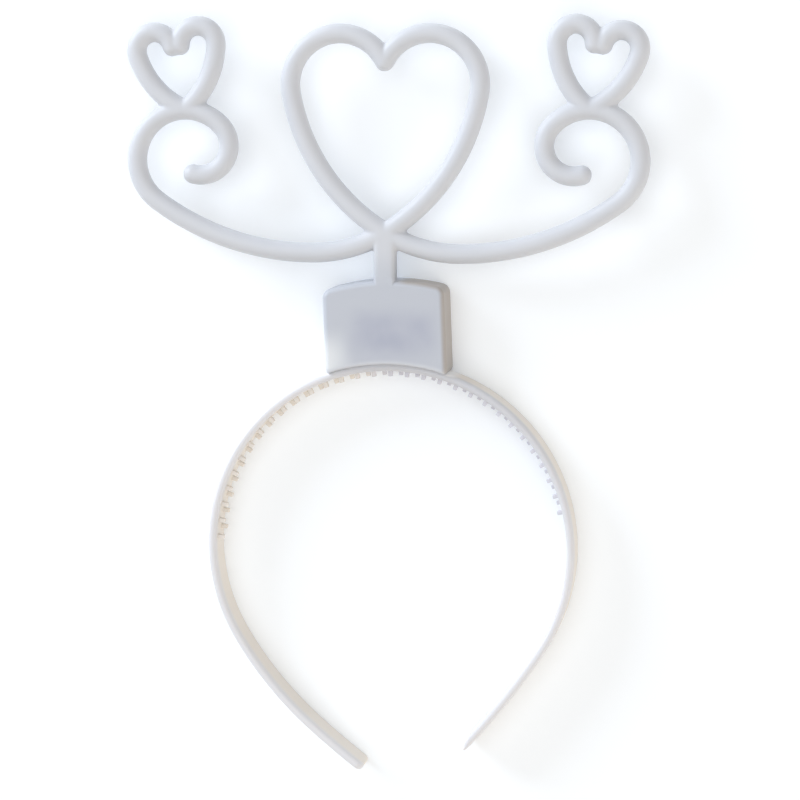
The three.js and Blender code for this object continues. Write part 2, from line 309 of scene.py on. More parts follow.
def from_hoop_centre(tree, place):
    """The distance from the middle of the hoop, seen from the front."""
    flat = add(tree, "ShaderNodeVectorMath", {0: place}, {1: FRONT_VIEW}, operation="MULTIPLY")
    away = add(tree, "ShaderNodeVectorMath", {0: flat.outputs[0]}, {1: HOOP_CENTRE}, operation="DISTANCE")
    return away.outputs["Value"]


# Painted shade: the case's right side and the top right of its rim, away from the window, are painted a
# warmer grey.
def painted_shade_far_rims(tree, place):
    """One on the case's right side, round its corner and on its top right of the post, zero elsewhere."""
    flat = add(tree, "ShaderNodeVectorMath", {0: place}, {1: FRONT_VIEW}, operation="MULTIPLY").outputs[0]
    from_hoop = add(tree, "ShaderNodeVectorMath", {0: flat}, {1: HOOP_CENTRE}, operation="SUBTRACT")
    across = add(
        tree, "ShaderNodeVectorMath", {0: from_hoop.outputs[0]}, {1: CASE_ACROSS}, operation="DOT_PRODUCT",
    ).outputs["Value"]
    to_top = add(tree, "ShaderNodeVectorMath", {0: flat}, {1: TOP_CENTRE}, operation="DISTANCE")
    both = add(tree, "ShaderNodeCombineXYZ", {"X": across, "Y": to_top.outputs["Value"]})
    from_bend = add(tree, "ShaderNodeVectorMath", {0: both.outputs[0]}, {1: BEND}, operation="SUBTRACT")
    beyond = add(
        tree, "ShaderNodeVectorMath", {0: from_bend.outputs[0]}, {1: (0, 0, 0)}, operation="MAXIMUM",
    )
    reach = add(tree, "ShaderNodeVectorMath", {0: beyond.outputs[0]}, operation="LENGTH")
    return soft_mask(tree, [
        (reach.outputs["Value"], TOP_CORNER - RIM_FADE, TOP_CORNER), (across, FAR_SHADE_START, FAR_SHADE_FULL),
    ])


print("warm rims reach", round(RIM_FADE / MM, 1), "mm into the case")

# %% Milky polypropylene over the battery pack
CASE_TONES = ("#bbbfc8", "#c0c4cc")
pack_low, pack_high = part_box("battery_pack")
SHADE_EDGE = 5.5 * MM
SHADE_CLOUD = 9 * MM
SHADE_LEAST = 0.45
# Painted light: the lower left corner of the case, beside the pack, is painted paler.
LIT_CORNER_LOW = (pack_low.x - 16 * MM, CASE_FOOT - 16 * MM)
LIT_CORNER_HIGH = (pack_low.x - 4 * MM, CASE_FOOT + 8 * MM)
LIT_CORNER_EDGE = 6 * MM
NECK_FADE = 4 * MM
CASE_SINK, CASE_SINK_DEPTH = 0.4, 1.5 * MM


def pack_shade(tree, place, axes):
    """The patchy shade of the battery pack behind the wall."""
    drift = add(tree, "ShaderNodeTexNoise", {"Vector": place}, {"Scale": 1 / SHADE_CLOUD, "Detail": 1.5})
    patchy = add(
        tree, "ShaderNodeMapRange", {"Value": drift.outputs["Fac"]},
        {"From Min": NOISE_LOW, "From Max": NOISE_HIGH, "To Min": SHADE_LEAST, "To Max": 1.0},
    )
    over_pack = soft_mask(tree, box_rises(axes, pack_low, pack_high, SHADE_EDGE))
    shade = add(
        tree, "ShaderNodeMath", {0: over_pack, 1: patchy.outputs["Result"]}, operation="MULTIPLY",
    )
    return shade.outputs[0]


def milky_case_plastic():
    """Milky polypropylene wall with the vague shade of what lies behind it."""
    material, tree, place = new_material("milky_polypropylene_case")
    cloud, gloss, skin = plastic_skin(tree, place, SATIN)
    axes = add(tree, "ShaderNodeSeparateXYZ", {"Vector": place})
    painted_light_corner = soft_mask(tree, box_rises(axes, LIT_CORNER_LOW, LIT_CORNER_HIGH, LIT_CORNER_EDGE))
    away = from_hoop_centre(tree, place)
    # Painted light: the foot's rounded edge is painted paler, lifting the shade where the case meets the
    # hoop.
    painted_light_foot_rim = soft_mask(tree, [(away, SADDLE_RADIUS + RIM_FADE, SADDLE_RADIUS)])
    tones = {MIX_FIRST: linear(CASE_TONES[0]), MIX_SECOND: linear(CASE_TONES[1])}
    colour = add(tree, "ShaderNodeMix", {"Factor": cloud}, tones, data_type="RGBA")
    for region, tone in (
        # painted light on the lower left corner
        (painted_light_corner, "#dcdfe2"),
        (pack_shade(tree, place, axes), "#abafbe"),
        # painted light on the foot's edge
        (painted_light_foot_rim, "#c8cbd1"),
        # painted shade on the rims away from the window
        (painted_shade_far_rims(tree, place), "#ada6a0"),
    ):
        colour = add(
            tree, "ShaderNodeMix", {"Factor": region, MIX_FIRST: colour.outputs[MIX_RESULT]},
            {MIX_SECOND: linear(tone)}, data_type="RGBA",
        )
    below_neck = soft_mask(tree, [(axes.outputs["Y"], NECK_TOP, NECK_TOP - NECK_FADE)])
    sink = add(tree, "ShaderNodeMath", {0: below_neck}, {1: CASE_SINK}, operation="MULTIPLY")
    surface = add(
        tree, "ShaderNodeBsdfPrincipled",
        {"Base Color": colour.outputs[MIX_RESULT], "Roughness": gloss, "Normal": skin,
         "Subsurface Weight": sink.outputs[0]},
        {"IOR": PLASTIC_IOR, "Subsurface Radius": EVEN_SINK, "Subsurface Scale": CASE_SINK_DEPTH},
    )
    add(tree, "ShaderNodeOutputMaterial", {"Surface": surface.outputs["BSDF"]})
    return material


milky_case = milky_case_plastic()
print("made", milky_case.name)

# %% [markdown]
# The hoop is opaque white polypropylene, cool at its front rim, and a painted warm shade makes it
# ivory down the strip and on the teeth. Painted shade makes the rim greyer from the crown to the
# right, away from the window, and the teeth there a cool grey, and a painted light makes the rim's
# outer edge paler under the case. The hoop is flexed and handled, so its gloss is a little uneven.

# %% White polypropylene
BAND_TONES = ("#dadade", "#dddde0")
BAND_SATIN = (0.44, 0.56)
BAND_SINK, BAND_SINK_DEPTH = 0.25, 1.0 * MM
WARM_SINK = (1.0, 0.9, 0.8)
# Where the hoop's painted shade and painted light lie.
GREY_LOW, GREY_HIGH = CROWN.y - 75 * MM, CROWN.y
GREY_START, GREY_FULL = CROWN.x - 32 * MM, CROWN.x - 2 * MM
RIM_HEIGHT, IVORY_HEIGHT = BAND_WIDTH - 0.2 * MM, BAND_WIDTH - 5.2 * MM
COMB_START, COMB_FULL = CROWN_RADIUS - 1.0 * MM, CROWN_RADIUS - 1.5 * MM
COOL_START, COOL_FULL = CROWN.x - 16 * MM, CROWN.x + 2 * MM
GLOW_START, GLOW_FULL = CROWN_RADIUS + 0.4 * MM, CROWN_RADIUS + BAND_WALL / 2
GLOW_LOW, GLOW_HIGH = CROWN.y - 3.8 * MM, CROWN.y - 2.4 * MM


def white_band_plastic():
    """White polypropylene: a cool rim, with painted shade greyer over the crown and ivory down the strip and
    the teeth.
    """
    material, tree, place = new_material("white_polypropylene")
    cloud, gloss, skin = plastic_skin(tree, place, BAND_SATIN)
    axes = add(tree, "ShaderNodeSeparateXYZ", {"Vector": place})
    across, along, height = (axes.outputs[axis] for axis in "XYZ")
    away = from_hoop_centre(tree, place)
    tones = {MIX_FIRST: linear(BAND_TONES[0]), MIX_SECOND: linear(BAND_TONES[1])}
    colour = add(tree, "ShaderNodeMix", {"Factor": cloud}, tones, data_type="RGBA")
    for rises, tone in (
        # Painted shade: the rim is painted greyer over the crown and to its right, away from the window.
        ([(along, GREY_LOW, GREY_HIGH), (across, GREY_START, GREY_FULL)], "#c9cacf"),
        # Painted warm shade: the strip below its front rim and the teeth are painted ivory.
        ([(height, RIM_HEIGHT, IVORY_HEIGHT)], "#e6e0d8"),
        # Painted shade: the teeth right of the crown are painted a cool grey.
        ([(away, COMB_START, COMB_FULL), (across, COOL_START, COOL_FULL)], "#d2d2da"),
        # Painted light: the rim's outer edge under the case is painted paler, lifting the shade of the
        # groove.
        ([(away, GLOW_START, GLOW_FULL), (along, GLOW_LOW, GLOW_HIGH)], "#f4f4f6"),
    ):
        region = soft_mask(tree, rises)
        colour = add(
            tree, "ShaderNodeMix", {"Factor": region, MIX_FIRST: colour.outputs[MIX_RESULT]},
            {MIX_SECOND: linear(tone)}, data_type="RGBA",
        )
    surface = add(
        tree, "ShaderNodeBsdfPrincipled",
        {"Base Color": colour.outputs[MIX_RESULT], "Roughness": gloss, "Normal": skin},
        {"IOR": PLASTIC_IOR, "Subsurface Weight": BAND_SINK, "Subsurface Radius": WARM_SINK,
         "Subsurface Scale": BAND_SINK_DEPTH},
    )
    add(tree, "ShaderNodeOutputMaterial", {"Surface": surface.outputs["BSDF"]})
    return material


white_band = white_band_plastic()
print("made", white_band.name)

# %% [markdown]
# The switch is a harder white plastic with a fine matt skin, and the battery pack wears grey shrink
# wrap, which is glossier. Both let no light in, so one plain tree with other tones does for them.

# %% Switch plastic and shrink wrap
def solid_plastic(name, first_tone, second_tone, roughness):
    """An opaque plastic with two close tones that drift slowly, and an uneven skin."""
    material, tree, place = new_material(name)
    cloud, gloss, skin = plastic_skin(tree, place, roughness)
    tones = {MIX_FIRST: linear(first_tone), MIX_SECOND: linear(second_tone)}
    colour = add(tree, "ShaderNodeMix", {"Factor": cloud}, tones, data_type="RGBA")
    surface = add(
        tree, "ShaderNodeBsdfPrincipled",
        {"Base Color": colour.outputs[MIX_RESULT], "Roughness": gloss, "Normal": skin},
        {"IOR": PLASTIC_IOR},
    )
    add(tree, "ShaderNodeOutputMaterial", {"Surface": surface.outputs["BSDF"]})
    return material


switch_white = solid_plastic("white_abs_matt", "#e6e6e3", "#ededea", roughness=(0.5, 0.6))
pack_grey = solid_plastic("grey_shrink_wrap", "#6f7887", "#7c8594", roughness=(0.35, 0.5))
print("made", switch_white.name, pack_grey.name)

# %% [markdown]
# ## Turning a mesh into a piece
# A piece is a mesh whose place is in its vertices, so its object stays at the origin. One function
# closes the mesh and points its faces outwards, and one bakes the modifiers into the mesh. A third
# shades the piece smooth except at true edges and hides the CAD node that it stands for. It
# weights the normals by area, so a flat face stays flat up to the rounds along its rim.

# %% Helpers for pieces
WELD = 0.002 * MM
FLAT = math.radians(0.2)


def new_object(name, bm, turn=Matrix.Identity(4)):
    """A mesh object at the origin from a bmesh, turned, welded and with its faces pointing out."""
    bmesh.ops.transform(bm, matrix=turn, verts=bm.verts)
    bmesh.ops.remove_doubles(bm, verts=bm.verts, dist=WELD)
    bmesh.ops.recalc_face_normals(bm, faces=bm.faces)
    mesh = bpy.data.meshes.new(name)
    bm.to_mesh(mesh)
    bm.free()
    obj = bpy.data.objects.new(name, mesh)
    bpy.context.scene.collection.objects.link(obj)
    return obj


def bake_modifiers(obj):
    """Puts the result of the object's modifiers into its mesh."""
    seen = obj.evaluated_get(bpy.context.evaluated_depsgraph_get())
    mesh = bpy.data.meshes.new_from_object(seen)
    obj.modifiers.clear()
    obj.data = mesh


def merge_flat_faces(obj):
    """Joins the flat faces that a Boolean splits, and drops the slivers between them."""
    bm = bmesh.new()
    bm.from_mesh(obj.data)
    bmesh.ops.remove_doubles(bm, verts=bm.verts, dist=WELD)
    bmesh.ops.dissolve_degenerate(bm, edges=bm.edges, dist=WELD)
    bmesh.ops.dissolve_limit(bm, angle_limit=FLAT, verts=bm.verts, edges=bm.edges)
    bm.to_mesh(obj.data)
    bm.free()


def combine(obj, tools, operation):
    """Joins solids to an object, or cuts them from it, and removes the tools."""
    for tool in tools:
        change = obj.modifiers.new(tool.name, "BOOLEAN")
        change.operation = operation
        change.solver = "EXACT"
        change.object = tool
    bake_modifiers(obj)
    for tool in tools:
        bpy.data.objects.remove(tool)
    merge_flat_faces(obj)


def finish_piece(obj, material, node, edge_angle):
    """Shades a piece, gives it its material and lets it stand for its CAD node."""
    obj.data.materials.clear()
    obj.data.materials.append(material)
    obj.data.polygons.foreach_set("use_smooth", [True] * len(obj.data.polygons))
    obj.data.set_sharp_from_angle(angle=math.radians(edge_angle))
    even = obj.modifiers.new("flat_faces", "WEIGHTED_NORMAL")
    even.keep_sharp = True
    bake_modifiers(obj)
    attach(obj, "root")
    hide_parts(node)
    low, high = (Vector(corner) for corner in (obj.bound_box[0], obj.bound_box[6]))
    size = [round(v / MM, 1) for v in high - low]
    print(obj.name, len(obj.data.polygons), "faces", size, "mm")


print("points closer than", round(WELD / MM, 3), "mm are welded")

# %% [markdown]
# ## Rounds and sweeps
# Two shapes return in most pieces. A moulding has a small round along each edge, made by a bevel of
# the edges that are sharp. The hoop and the tube are one section carried along a row of arcs, made by
# a spin for each arc, so a few radii and turns draw the whole line.

# %% Helpers for shapes
def edges_of(geometry):
    """The edges in what an operator returns."""
    return [part for part in geometry if isinstance(part, bmesh.types.BMEdge)]


def verts_of(geometry):
    """The vertices in what an operator returns."""
    return [part for part in geometry if isinstance(part, bmesh.types.BMVert)]


def bevel(bm, edges, width, segments):
    """Rounds a set of edges."""
    return bmesh.ops.bevel(
        bm, geom=edges, offset=width, segments=segments, profile=0.5, affect="EDGES",
        clamp_overlap=False, material=-1,
    )


def sharp_edges(bm, angle):
    """The edges where two faces meet at more than an angle in degrees."""
    limit = math.radians(angle)
    return [e for e in bm.edges if len(e.link_faces) == 2 and e.calc_face_angle(0) > limit]


def sweep(bm, ring, place, heading, arcs, step):
    """Carries a ring of vertices and edges along a row of arcs, one spin for each arc.

    A turn to the left is positive. Returns the last ring, and the place and heading there."""
    for radius, turn in arcs:
        angle = math.radians(turn)
        to_centre = Vector((-math.sin(heading), math.cos(heading), 0)) * math.copysign(radius * MM, angle)
        centre = place + to_centre
        steps = max(2, math.ceil(radius * MM * abs(angle) / step))
        spun = bmesh.ops.spin(
            bm, geom=ring, cent=centre, axis=(0, 0, 1), dvec=(0, 0, 0), angle=angle, steps=steps,
            use_merge=False, use_duplicate=False,
        )
        ring = spun["geom_last"]
        place = centre + Matrix.Rotation(angle, 3, "Z") @ (place - centre)
        heading += angle
    return ring, place, heading


leg_lengths = {
    side: round(sum(radius * math.radians(turn) for radius, turn in arcs)) for side, arcs in LEG_ARCS.items()
}
print("legs before their tips, in mm:", leg_lengths)

# %% [markdown]
# ## The hoop
# The real hoop is one moulding, a flat strip that bends round the head. A curve with a bevel would
# do, but it gives little say over its ends, so the strip's section is drawn once at the crown and
# spun along the arcs of each leg. The ends are capped and their corners rounded, the right one more
# than the left as the photo shows, then every long edge gets a soft round, and last the right tip is
# thinned to a chisel.

# %% Hoop strip
BAND_STEP = 2.5 * MM
TIP_LENGTH = 5.88 * MM
TIP_ROUND = {"right": 5.5 * MM, "left": 2.6 * MM}
TIP_THIN = {"right": 0.7, "left": 0.0}
BAND_EDGE = 1.25 * MM


def crown_section(bm):
    """The strip's section at the crown: a rectangle across the wall and the width."""
    half, front = Vector((0, BAND_WALL / 2, 0)), Vector((0, 0, BAND_WIDTH))
    corners = [CROWN - half, CROWN + half, CROWN + half + front, CROWN - half + front]
    verts = [bm.verts.new(corner) for corner in corners]
    edges = [bm.edges.new((verts[k - 1], verts[k])) for k in range(4)]
    return verts + edges


def thin_tip(bm, place, onward, hand, thinning):
    """Draws a tip's inner face towards its outer one, more and more up to its end."""
    outward = Vector((onward.y, -onward.x, 0)) * hand
    outer = place + outward * BAND_WALL / 2
    for v in bm.verts:
        beyond = (v.co - place).dot(onward)
        if beyond > 0 and (v.co.xy - place.xy).length < 2 * TIP_LENGTH:
            inset = (outer - v.co).dot(outward)
            v.co += outward * inset * thinning * beyond / TIP_LENGTH


def hoop_strip():
    """The strip along both legs, with straight and rounded tips."""
    bm = bmesh.new()
    section = crown_section(bm)
    tips = {}
    for side, heading, hand in (("right", 0.0, -1), ("left", math.pi, 1)):
        arcs = [(radius, hand * turn) for radius, turn in LEG_ARCS[side]]
        ring, place, heading = sweep(bm, section, CROWN, heading, arcs, BAND_STEP)
        last = bmesh.ops.extrude_edge_only(bm, edges=edges_of(ring))["geom"]
        onward = Vector((math.cos(heading), math.sin(heading), 0)) * TIP_LENGTH
        bmesh.ops.translate(bm, vec=onward, verts=verts_of(last))
        tip = bmesh.ops.contextual_create(bm, geom=edges_of(last))["faces"][0]
        tips[side] = (tip, place, onward.normalized(), hand)
    bmesh.ops.recalc_face_normals(bm, faces=bm.faces)
    for side, (tip, *_) in tips.items():
        corners = [e for e in tip.edges if abs(e.verts[0].co.z - e.verts[1].co.z) < WELD]
        bevel(bm, corners, TIP_ROUND[side], segments=9)
    bevel(bm, sharp_edges(bm, angle=50), BAND_EDGE, segments=5)
    for side, (_, place, onward, hand) in tips.items():
        thin_tip(bm, place, onward, hand, TIP_THIN[side])
    return bm


hoop = new_object("hoop", hoop_strip())
print("hoop strip", len(hoop.data.polygons), "faces")

# %% [markdown]
# ## The comb teeth
# Two rows of short square teeth hold the hair. The rows are set half a step apart, so the photo
# shows them in pairs on the left and one by one on the right. Each tooth is a small block that
# narrows to its tip, with its edges rounded. The teeth are part of the same moulding, so a Boolean
# modifier joins them to the strip.

# %% Comb teeth
TOOTH_PITCH = 6.3 * MM
TEETH_LEFT, TEETH_RIGHT = 16, 14
TOOTH_LENGTH, TOOTH_WIDTH, TOOTH_DEPTH = 2.2 * MM, 1.6 * MM, 2.4 * MM
TOOTH_ROOT = 0.5 * MM
TOOTH_TAPER = 0.86
TOOTH_EDGE = 0.22 * MM
# Each row of teeth is its height above the back and its shift along the hoop in pitches.
TOOTH_ROWS = [(9.2 * MM, 0.0), (4.4 * MM, 0.5)]


def along_leg(distance):
    """Place and heading at a signed distance from the crown, right of it positive."""
    side, hand = ("right", -1) if distance >= 0 else ("left", 1)
    place, heading, left = CROWN.copy(), 0.0, abs(distance)
    for radius, turn in LEG_ARCS[side]:
        angle = hand * min(math.radians(turn), left / (radius * MM))
        to_centre = Vector((-math.sin(heading), math.cos(heading), 0)) * -radius * MM
        centre = place + to_centre
        place = centre - Matrix.Rotation(angle, 3, "Z") @ to_centre
        heading += angle
        left -= abs(angle) * radius * MM
    return place, heading


def add_tooth(bm, distance, height):
    """One tooth on the inner face, its root sunk a little into the strip."""
    place, heading = along_leg(distance)
    inward = Vector((math.sin(heading), -math.cos(heading), 0))
    length = TOOTH_LENGTH + TOOTH_ROOT
    middle = place + inward * (BAND_WALL / 2 - TOOTH_ROOT + length / 2) + Vector((0, 0, height))
    verts = bmesh.ops.create_cube(bm, size=1.0)["verts"]
    tip = [v for v in verts if v.co.y < 0]
    bmesh.ops.scale(bm, vec=(TOOTH_TAPER, 1, TOOTH_TAPER), verts=tip)
    bmesh.ops.scale(bm, vec=(TOOTH_WIDTH, length, TOOTH_DEPTH), verts=verts)
    bmesh.ops.transform(
        bm, matrix=Matrix.Translation(middle) @ Matrix.Rotation(heading, 4, "Z"), verts=verts,
    )


def comb_teeth():
    """Both rows of teeth as one mesh."""
    bm = bmesh.new()
    for height, shift in TOOTH_ROWS:
        for k in range(-TEETH_LEFT, TEETH_RIGHT + 1 - round(2 * shift)):
            add_tooth(bm, (k + shift) * TOOTH_PITCH, height)
    bevel(bm, list(bm.edges), TOOTH_EDGE, segments=2)
    return bm


combine(hoop, [new_object("teeth", comb_teeth())], "UNION")
finish_piece(hoop, white_band, "band", edge_angle=40)

# %% [markdown]
# ## The battery case
# The case is a shallow box whose foot is a saddle on the hoop. Its foot is an arc about the hoop's
# centre and its top a rounder one, so each is one vertex spun into a row. The outline is filled,
# pushed out to the front, and its corners and rims rounded. The foot starts too deep, and a flared
# round cuts it back, so the front stays full down to a small round where it meets the hoop. Solids
# with drawn-in outlines cut the hollow and the step that the cover sits on.

# %% Case outline
# A step of the arcs is longer than the corners' rounds, so that a round doesn't fold over a vertex.
ARC_STEPS = 10


def case_outline(bm, inset, lip):
    """The upright case's outline, drawn in by an inset, its foot deeper by a lip, as one face."""
    half = CASE_HALF - inset
    foot, top = SADDLE_RADIUS + inset - lip, CASE_TOP_RADIUS - inset
    top_centre = Vector((CASE_X, CASE_TOP - CASE_TOP_RADIUS, 0))
    ends = []
    for centre, radius, hand in ((HOOP_CENTRE, foot, -1), (top_centre, top, 1)):
        aside = CASE_X - centre.x
        first, last = math.asin((aside + half * hand) / radius), math.asin((aside - half * hand) / radius)
        seed = bm.verts.new(centre + Vector((math.sin(first), math.cos(first), 0)) * radius)
        spun = bmesh.ops.spin(
            bm, geom=[seed], cent=centre, axis=(0, 0, 1), dvec=(0, 0, 0), angle=first - last,
            steps=ARC_STEPS,
        )
        ends += [seed, verts_of(spun["geom_last"])[0]]
    foot_left, foot_right, top_right, top_left = ends
    bm.edges.new((foot_right, top_right))
    bm.edges.new((top_left, foot_left))
    return bmesh.ops.contextual_create(bm, geom=list(bm.edges))["faces"][0]


def upright_edges(bm, upper):
    """The two upper or lower corner edges that run from the back to the front."""
    middle = (CASE_FOOT + CASE_TOP) / 2
    return [
        e for e in sharp_edges(bm, angle=40)
        if abs(e.verts[0].co.z - e.verts[1].co.z) > MM and (e.verts[0].co.y > middle) == upper
    ]


def rim_edges(bm, height):
    """The sharp edges that lie at one height."""
    return [
        e for e in sharp_edges(bm, angle=40)
        if all(abs(v.co.z - height) < WELD for v in e.verts)
    ]


def case_block(inset, low, high, corners, lip=0.0):
    """The case's outline, drawn in, from one height to another, its top and foot corners rounded."""
    bm = bmesh.new()
    back = case_outline(bm, inset, lip)
    grown = bmesh.ops.extrude_face_region(bm, geom=[back], use_keep_orig=True)["geom"]
    bmesh.ops.translate(bm, vec=(0, 0, high - low), verts=verts_of(grown))
    bmesh.ops.translate(bm, vec=(0, 0, low), verts=bm.verts)
    bmesh.ops.recalc_face_normals(bm, faces=bm.faces)
    top_corner, foot_corner = corners
    bevel(bm, upright_edges(bm, upper=True), top_corner, segments=7)
    bevel(bm, upright_edges(bm, upper=False), foot_corner, segments=7)
    return bm


print("case outline", round(2 * CASE_HALF / MM, 1), "mm wide")

# %% Case shell
FOOT_CORNER = 4.0 * MM
FRONT_EDGE = 2.0 * MM
BACK_EDGE = 0.6 * MM
DEEP_FOOT = 2.0 * MM
FOOT_EDGE = 1.0 * MM
FOOT_SLOPE = 0.45
CONTACT = 0.06 * MM
FLUSH = 0.02 * MM
SADDLE_STEPS = 240
COVER_INSET = 1.1 * MM
COVER_WALL = 1.6 * MM
CASE_WALL = 2.2 * MM
SEAT_CORNERS = (2.4 * MM, 1.2 * MM)
HOLLOW_CORNERS = (1.3 * MM, 1.0 * MM)
OVERLAP = 1.0 * MM


def case_outside():
    """The case before it is hollowed, its front and back rims rounded."""
    bm = case_block(0.0, 0.0, CASE_DEPTH, (TOP_CORNER, FOOT_CORNER), DEEP_FOOT)
    bevel(bm, rim_edges(bm, CASE_DEPTH), FRONT_EDGE, segments=6)
    bevel(bm, rim_edges(bm, 0.0), BACK_EDGE, segments=3)
    return bm


def flared_saddle():
    """The round that the case's foot sits on, flared at the front so that it rounds the foot's edge."""
    bm = bmesh.new()
    radius = SADDLE_RADIUS - FIT_GAP + CONTACT
    flare = HOOP_CENTRE + Vector((radius + FOOT_EDGE, 0, CASE_DEPTH - FOOT_EDGE + FLUSH))
    low = bm.verts.new(flare - Vector((FOOT_EDGE, 0, 0)))
    spun = bmesh.ops.spin(
        bm, geom=[low], cent=flare, axis=(0, 1, 0), dvec=(0, 0, 0), angle=math.pi / 2, steps=6,
    )
    high = verts_of(spun["geom_last"])[0]
    about_front = Matrix.Translation((0, 0, -CASE_DEPTH - FLUSH))
    bmesh.ops.scale(bm, vec=(1, 1, FOOT_SLOPE), space=about_front, verts=bm.verts)
    for end, reach in ((low, -2 * CASE_DEPTH), (high, CASE_DEPTH)):
        bm.edges.new((end, bm.verts.new(end.co + Vector((0, 0, reach)))))
    bmesh.ops.spin(
        bm, geom=list(bm.verts) + list(bm.edges), cent=HOOP_CENTRE, axis=(0, 0, 1), dvec=(0, 0, 0),
        angle=2 * math.pi, steps=SADDLE_STEPS, use_merge=True,
    )
    bmesh.ops.holes_fill(bm, edges=[e for e in bm.edges if e.is_boundary], sides=0)
    return bm


shell = new_object("case_shell", case_outside(), CASE_LEAN)
seat = case_block(COVER_INSET, -OVERLAP, COVER_WALL + FIT_GAP, SEAT_CORNERS)
hollow = case_block(CASE_WALL, OVERLAP, CASE_DEPTH - CASE_WALL, HOLLOW_CORNERS)
cuts = [new_object("seat", seat, CASE_LEAN), new_object("hollow", hollow, CASE_LEAN)]
cuts.append(new_object("saddle", flared_saddle()))
combine(shell, cuts, "DIFFERENCE")
print("case shell", len(shell.data.polygons), "faces")

# %% [markdown]
# The post and the case's front run into each other with no step, so the case has a short neck of the
# post's section, flush with the front. A web on each side of the neck rounds the inner corner. Each
# web is an outline with two hollow quarter circles, and again a spun vertex makes each of them.

# %% Case neck
POST_WIDTH, POST_DEPTH = 7.6 * MM, 7.2 * MM
POST_EDGE = 1.2 * MM
WEB = 1.4 * MM
WEB_SINK = 0.6 * MM
WEB_ROOT = 1.0 * MM
WEB_BACK, WEB_FRONT = CASE_DEPTH - POST_DEPTH + 1.0 * MM, CASE_DEPTH - POST_EDGE
NECK_FOOT = CASE_TOP - FRONT_EDGE - WEB_SINK


def post_block(low, high):
    """A length of the post, with its four long edges rounded."""
    bm = bmesh.new()
    made = bmesh.ops.create_cube(bm, size=1.0)["verts"]
    bmesh.ops.scale(bm, vec=(POST_WIDTH, high - low, POST_DEPTH), verts=made)
    middle = Vector((POST_X, (low + high) / 2, CASE_DEPTH - FLUSH - POST_DEPTH / 2))
    bmesh.ops.translate(bm, vec=middle, verts=made)
    long_edges = [e for e in bm.edges if abs(e.verts[0].co.y - e.verts[1].co.y) > MM]
    bevel(bm, long_edges, POST_EDGE, segments=5)
    return bm


def neck_web():
    """The webs on both sides of the neck, as one slab with hollow quarter circles."""
    bm = bmesh.new()
    ends = []
    for hand in (-1, 1):
        centre = Vector((POST_X + hand * (POST_WIDTH / 2 + WEB), CASE_TOP - WEB_SINK + WEB, WEB_BACK))
        seed = bm.verts.new(centre - Vector((0, WEB, 0)))
        spun = bmesh.ops.spin(
            bm, geom=[seed], cent=centre, axis=(0, 0, 1), dvec=(0, 0, 0), angle=-hand * math.pi / 2, steps=6,
        )
        low = bm.verts.new(seed.co - Vector((0, WEB_ROOT, 0)))
        bm.edges.new((seed, low))
        ends += [low, verts_of(spun["geom_last"])[0]]
    low_left, high_left, low_right, high_right = ends
    bm.edges.new((low_left, low_right))
    bm.edges.new((high_left, high_right))
    face = bmesh.ops.contextual_create(bm, geom=list(bm.edges))["faces"]
    grown = bmesh.ops.extrude_face_region(bm, geom=face, use_keep_orig=True)["geom"]
    bmesh.ops.translate(bm, vec=(0, 0, WEB_FRONT - WEB_BACK), verts=verts_of(grown))
    return bm


neck = [new_object("neck", post_block(NECK_FOOT, NECK_TOP)), new_object("web", neck_web())]
combine(shell, neck, "UNION")
finish_piece(shell, milky_case, "case_front", edge_angle=35)

# %% [markdown]
# ## The back cover
# The photo hides the back, so it is finished plainly: a flat cover let into the case, with a slot
# for a slider. A plate cut from a grid would need its outline drawn again, so the cover uses the
# case's own outline, drawn in, and a Boolean cuts the slot.

# %% Cover
COVER_CORNERS = (2.1 * MM, 1.0 * MM)
COVER_EDGE = 0.35 * MM
SLOT_WIDTH, SLOT_HEIGHT = 10 * MM, 4.6 * MM
SLOT_EDGE = 0.6 * MM
SLOT_FROM_MIDDLE = -8 * MM
SLOT_MIDDLE = Vector((CASE_X + SLOT_FROM_MIDDLE, (CASE_FOOT + CASE_TOP) / 2, COVER_WALL / 2))


def rounded_block(bm, low, high, edge, segments):
    """A block between two corners with all its edges rounded."""
    made = bmesh.ops.create_cube(bm, size=1.0)["verts"]
    bmesh.ops.scale(bm, vec=high - low, verts=made)
    bmesh.ops.translate(bm, vec=(low + high) / 2, verts=made)
    edges = {e for v in made for e in v.link_edges}
    return bevel(bm, list(edges), edge, segments)


def cover_plate():
    """The flat cover, its corners and edges rounded."""
    bm = case_block(COVER_INSET + FIT_GAP, 0.0, COVER_WALL, COVER_CORNERS)
    bevel(bm, rim_edges(bm, 0.0), COVER_EDGE, segments=3)
    return bm


def slot_block():
    """The block that cuts the slider's slot."""
    bm = bmesh.new()
    half = Vector((SLOT_WIDTH / 2, SLOT_HEIGHT / 2, 2 * COVER_WALL))
    rounded_block(bm, SLOT_MIDDLE - half, SLOT_MIDDLE + half, SLOT_EDGE, segments=3)
    return bm


cover = new_object("case_cover", cover_plate(), CASE_LEAN)
combine(cover, [new_object("slot", slot_block(), CASE_LEAN)], "DIFFERENCE")
finish_piece(cover, milky_case, "case_back", edge_angle=35)

# %% [markdown]
# ## The switch
# The switch is a slider: a knob with grip ridges in the slot, on a flange behind the cover that
# keeps it in. Each part is a rounded block. They overlap a little, as one moulding does, and the
# knob lies a little below the cover, so the headband still rests on a flat back.

# %% Slider
FLANGE = Vector((14, 8.6, 1.0)) * MM
FLANGE_EDGE = 0.2 * MM
KNOB_WIDTH = 5 * MM
KNOB_RECESS = 0.5 * MM
KNOB_EDGE = 0.25 * MM
KNOB_ROOT = 0.2 * MM
RIDGES = 4
RIDGE_HEIGHT = 0.4 * MM
RIDGE_MARGIN = 0.3 * MM
RIDGE_ROOT = 0.3 * MM
RIDGE_EDGE = 0.15 * MM


